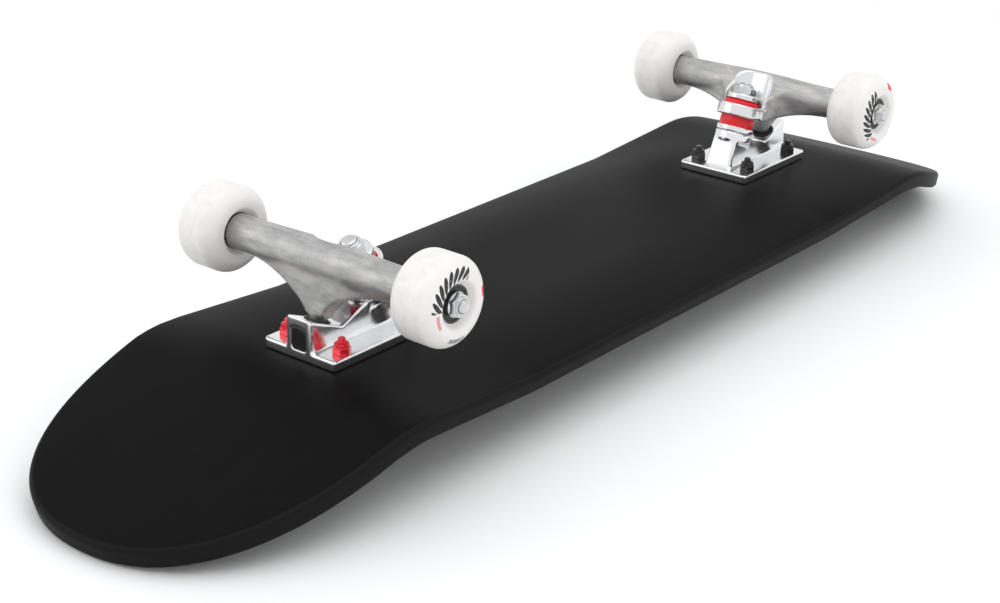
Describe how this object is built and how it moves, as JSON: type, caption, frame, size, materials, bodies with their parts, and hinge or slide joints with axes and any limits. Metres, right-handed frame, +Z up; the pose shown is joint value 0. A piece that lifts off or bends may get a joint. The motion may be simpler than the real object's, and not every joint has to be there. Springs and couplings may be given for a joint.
{
  "type": "skateboard",
  "caption": "Popsicle skateboard stored upside down: curved deck with grip tape, two steerable trucks with urethane bushings, and four free-spinning conical wheels on ball bearings.",
  "frame": {"origin": "on the surface that the upside-down board rests on, under the middle of its overall box", "axes": "+X along the board towards the nose, +Y across the board, +Z up, away from the grip tape and towards the wheels"},
  "size_m": [0.8174, 0.2064, 0.1312],
  "materials": {
    "stained_maple": "satin black stain and clear coat",
    "grip_tape": "coarse silicon carbide grit on cloth",
    "polished_aluminium": "polished casting",
    "cast_aluminium": "satin, tumbled casting",
    "pivot_rubber": "moulded",
    "bushing_urethane": "cast urethane",
    "bright_steel": "bright plated",
    "zinc_steel": "zinc plated",
    "axle_steel": "ground",
    "red_hardware": "red plated steel",
    "black_hardware": "black oxide",
    "wheel_urethane": "cast white urethane",
    "bearing_shield": "black seal",
    "bearing_cage": "nylon",
    "bearing_steel": "ground and polished"
  },
  "bodies": {
    "board": {"deck": "stained_maple", "grip_tape": "grip_tape", "nose_baseplate": "polished_aluminium", "nose_boardside_bushing": "bushing_urethane", "nose_boardside_washer": "bright_steel", "nose_kingpin": "zinc_steel", "nose_kingpin_nut": "zinc_steel", "nose_middle_side_bolts": "black_hardware", "nose_middle_side_nuts": "black_hardware", "nose_pivot_cup": "pivot_rubber", "nose_roadside_bushing": "bushing_urethane", "nose_roadside_washer": "bright_steel", "nose_tip_side_bolts": "red_hardware", "nose_tip_side_nuts": "red_hardware", "tail_baseplate": "polished_aluminium", "tail_boardside_bushing": "bushing_urethane", "tail_boardside_washer": "bright_steel", "tail_kingpin": "zinc_steel", "tail_kingpin_nut": "zinc_steel", "tail_mounting_bolts": "black_hardware", "tail_mounting_nuts": "black_hardware", "tail_pivot_cup": "pivot_rubber", "tail_roadside_bushing": "bushing_urethane", "tail_roadside_washer": "bright_steel"},
    "nose_hanger_assembly": {"nose_hanger": "cast_aluminium", "nose_axle": "axle_steel", "nose_speed_rings": "axle_steel", "nose_axle_nuts": "zinc_steel", "nose_bearing_spacers": "axle_steel", "nose_left_bearing_inner_races": "bearing_steel", "nose_right_bearing_inner_races": "bearing_steel"},
    "nose_left_wheel_assembly": {"nose_left_wheel": "wheel_urethane", "nose_left_bearing_outer_races": "black_hardware", "nose_left_bearing_shields": "bearing_shield"},
    "nose_left_ball_sets": {"nose_left_bearing_balls": "bearing_steel", "nose_left_bearing_cages": "bearing_cage"},
    "nose_right_wheel_assembly": {"nose_right_wheel": "wheel_urethane", "nose_right_bearing_outer_races": "black_hardware", "nose_right_bearing_shields": "bearing_shield"},
    "nose_right_ball_sets": {"nose_right_bearing_balls": "bearing_steel", "nose_right_bearing_cages": "bearing_cage"},
    "tail_hanger_assembly": {"tail_hanger": "cast_aluminium", "tail_axle": "axle_steel", "tail_speed_rings": "axle_steel", "tail_axle_nuts": "zinc_steel", "tail_bearing_spacers": "axle_steel", "tail_left_bearing_inner_races": "bearing_steel", "tail_right_bearing_inner_races": "bearing_steel"},
    "tail_left_wheel_assembly": {"tail_left_wheel": "wheel_urethane", "tail_left_bearing_outer_races": "black_hardware", "tail_left_bearing_shields": "bearing_shield"},
    "tail_left_ball_sets": {"tail_left_bearing_balls": "bearing_steel", "tail_left_bearing_cages": "bearing_cage"},
    "tail_right_wheel_assembly": {"tail_right_wheel": "wheel_urethane", "tail_right_bearing_outer_races": "black_hardware", "tail_right_bearing_shields": "bearing_shield"},
    "tail_right_ball_sets": {"tail_right_bearing_balls": "bearing_steel", "tail_right_bearing_cages": "bearing_cage"}
  },
  "joints": [
    {"name": "nose_steering", "type": "hinge", "parent": "board", "child": "nose_hanger_assembly", "pos_m": [0.23155, 0, 0.06504], "axis": [-0.786, 0, 0.6182], "range_deg": [-12, 12], "stiffness_Nm_per_rad": 40, "deforming": ["nose_boardside_bushing", "nose_roadside_bushing"]},
    {"name": "nose_left_wheel_spin", "type": "hinge", "parent": "nose_hanger_assembly", "child": "nose_left_wheel_assembly", "pos_m": [0.22145, 0.0823, 0.10524], "axis": [0, 1, 0], "continuous": true},
    {"name": "nose_right_wheel_spin", "type": "hinge", "parent": "nose_hanger_assembly", "child": "nose_right_wheel_assembly", "pos_m": [0.22145, -0.0823, 0.10524], "axis": [0, 1, 0], "continuous": true},
    {"name": "nose_left_bearing_roll", "type": "hinge", "parent": "nose_hanger_assembly", "child": "nose_left_ball_sets", "pos_m": [0.22145, 0.0823, 0.10524], "axis": [0, 1, 0], "continuous": true},
    {"name": "nose_right_bearing_roll", "type": "hinge", "parent": "nose_hanger_assembly", "child": "nose_right_ball_sets", "pos_m": [0.22145, -0.0823, 0.10524], "axis": [0, 1, 0], "continuous": true},
    {"name": "tail_steering", "type": "hinge", "parent": "board", "child": "tail_hanger_assembly", "pos_m": [-0.24045, 0, 0.06504], "axis": [0.786, 0, 0.6182], "range_deg": [-12, 12], "stiffness_Nm_per_rad": 40, "deforming": ["tail_boardside_bushing", "tail_roadside_bushing"]},
    {"name": "tail_left_wheel_spin", "type": "hinge", "parent": "tail_hanger_assembly", "child": "tail_left_wheel_assembly", "pos_m": [-0.23035, 0.0823, 0.10524], "axis": [0, 1, 0], "continuous": true},
    {"name": "tail_right_wheel_spin", "type": "hinge", "parent": "tail_hanger_assembly", "child": "tail_right_wheel_assembly", "pos_m": [-0.23035, -0.0823, 0.10524], "axis": [0, 1, 0], "continuous": true},
    {"name": "tail_left_bearing_roll", "type": "hinge", "parent": "tail_hanger_assembly", "child": "tail_left_ball_sets", "pos_m": [-0.23035, 0.0823, 0.10524], "axis": [0, 1, 0], "continuous": true},
    {"name": "tail_right_bearing_roll", "type": "hinge", "parent": "tail_hanger_assembly", "child": "tail_right_ball_sets", "pos_m": [-0.23035, -0.0823, 0.10524], "axis": [0, 1, 0], "continuous": true}
  ],
  "couplings": [
    {"joint": "nose_left_bearing_roll", "follows": "nose_left_wheel_spin", "ratio": 0.63227},
    {"joint": "nose_right_bearing_roll", "follows": "nose_right_wheel_spin", "ratio": 0.63227},
    {"joint": "tail_left_bearing_roll", "follows": "tail_left_wheel_spin", "ratio": 0.63227},
    {"joint": "tail_right_bearing_roll", "follows": "tail_right_wheel_spin", "ratio": 0.63227}
  ]
}
